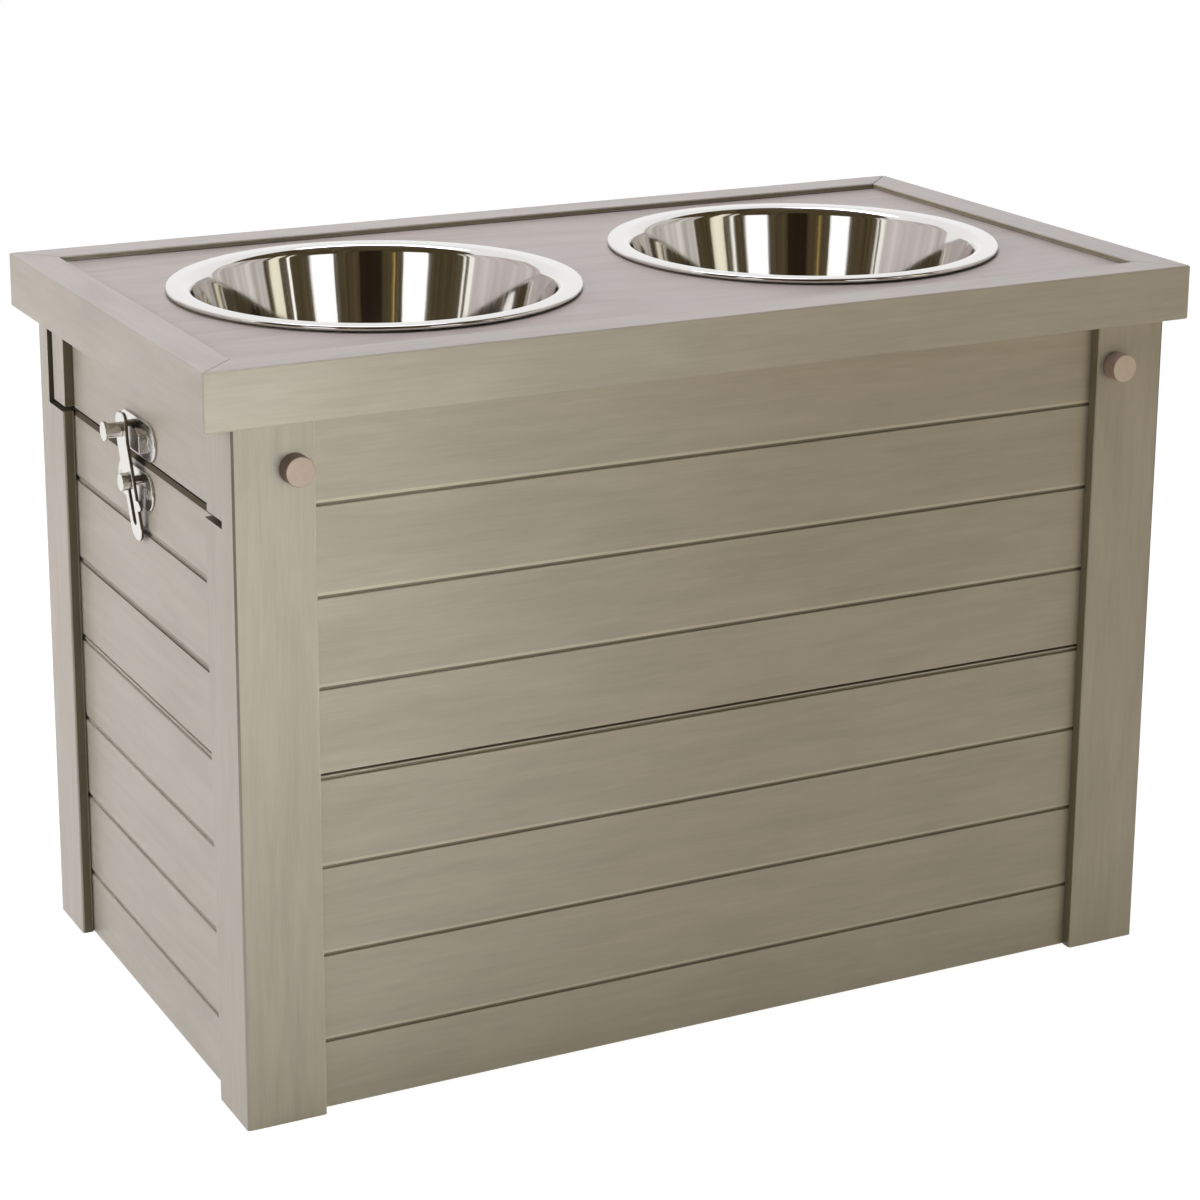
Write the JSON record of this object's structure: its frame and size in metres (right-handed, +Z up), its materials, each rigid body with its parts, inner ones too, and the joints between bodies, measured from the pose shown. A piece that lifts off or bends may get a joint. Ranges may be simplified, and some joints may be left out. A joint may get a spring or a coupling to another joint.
{
  "type": "elevated dog feeder with storage",
  "caption": "Raised dog feeder: a slatted storage box on corner posts, its lift-off lid held by swing latches and carrying drop-in steel bowls.",
  "frame": {"origin": "on the floor under the middle of the box", "axes": "+X along the length towards the picture's right end, +Y from the front to the rear, +Z up"},
  "size_m": [0.6, 0.342, 0.4136],
  "materials": {
    "board": "satin wood-and-plastic composite with a fine grain",
    "lid_board": "satin wood-and-plastic composite with a fine grain",
    "inner_board": "satin composite, unseen inner boards",
    "peg": "matte moulded",
    "bowl_steel": "polished stainless steel",
    "latch_steel": "polished stainless steel",
    "screw_steel": "zinc-plated screws"
  },
  "bodies": {
    "box": {"post_front_left": "board", "post_front_right": "board", "post_rear_left": "board", "post_rear_right": "board", "front_panel_lower": "board", "front_panel_upper": "board", "rear_panel_lower": "board", "rear_panel_upper": "board", "left_panel_lower": "board", "left_panel_upper": "board", "right_panel_lower": "board", "right_panel_upper": "board", "floor_panel": "inner_board", "floor_cleat_front": "inner_board", "floor_cleat_rear": "inner_board", "cleat_screws": "screw_steel", "latch_plate_left": "latch_steel", "latch_plate_right": "latch_steel", "plate_screws_left": "screw_steel", "plate_screws_right": "screw_steel"},
    "lid": {"lid_frame_front": "board", "lid_frame_rear": "board", "lid_frame_left": "board", "lid_frame_right": "board", "lid_top": "lid_board", "lid_batten": "inner_board", "batten_screws": "screw_steel", "skirt_left": "board", "skirt_right": "board", "skirt_stiles_left": "board", "skirt_stiles_right": "board", "skirt_screws": "screw_steel", "keeper_left": "latch_steel", "keeper_right": "latch_steel", "keeper_screws_left": "screw_steel", "keeper_screws_right": "screw_steel"},
    "bowl_left": {"bowl_left": "bowl_steel"},
    "bowl_right": {"bowl_right": "bowl_steel"},
    "peg_front_left": {"peg_front_left": "peg"},
    "peg_front_right": {"peg_front_right": "peg"},
    "peg_rear_left": {"peg_rear_left": "peg"},
    "peg_rear_right": {"peg_rear_right": "peg"},
    "latch_stud_left": {"latch_stud_left": "latch_steel"},
    "latch_bar_left": {"latch_bar_left": "latch_steel", "latch_knob_left": "latch_steel"},
    "latch_stud_right": {"latch_stud_right": "latch_steel"},
    "latch_bar_right": {"latch_bar_right": "latch_steel", "latch_knob_right": "latch_steel"}
  },
  "joints": [
    {"name": "lid_lift", "type": "slide", "parent": "box", "child": "lid", "axis": [0, 0, 1], "range_m": [0, 0.12]},
    {"name": "bowl_lift_left", "type": "slide", "parent": "lid", "child": "bowl_left", "axis": [0, 0, 1], "range_m": [0, 0.09]},
    {"name": "bowl_lift_right", "type": "slide", "parent": "lid", "child": "bowl_right", "axis": [0, 0, 1], "range_m": [0, 0.09]},
    {"name": "peg_pull_front_left", "type": "slide", "parent": "box", "child": "peg_front_left", "axis": [0, -1, 0], "range_m": [0, 0.035]},
    {"name": "peg_pull_front_right", "type": "slide", "parent": "box", "child": "peg_front_right", "axis": [0, -1, 0], "range_m": [0, 0.035]},
    {"name": "peg_pull_rear_left", "type": "slide", "parent": "box", "child": "peg_rear_left", "axis": [0, 1, 0], "range_m": [0, 0.035]},
    {"name": "peg_pull_rear_right", "type": "slide", "parent": "box", "child": "peg_rear_right", "axis": [0, 1, 0], "range_m": [0, 0.035]},
    {"name": "latch_swing_left", "type": "hinge", "parent": "box", "child": "latch_stud_left", "pos_m": [-0.278, 0.0035, 0.3141], "axis": [1, 0, 0], "range_deg": [-82, 98]},
    {"name": "latch_raise_left", "type": "slide", "parent": "latch_stud_left", "child": "latch_bar_left", "axis": [0, 0.1392, 0.9903], "range_m": [0, 0.021]},
    {"name": "latch_swing_right", "type": "hinge", "parent": "box", "child": "latch_stud_right", "pos_m": [0.278, 0.0035, 0.3141], "axis": [1, 0, 0], "range_deg": [-82, 98]},
    {"name": "latch_raise_right", "type": "slide", "parent": "latch_stud_right", "child": "latch_bar_right", "axis": [0, 0.1392, 0.9903], "range_m": [0, 0.021]}
  ]
}
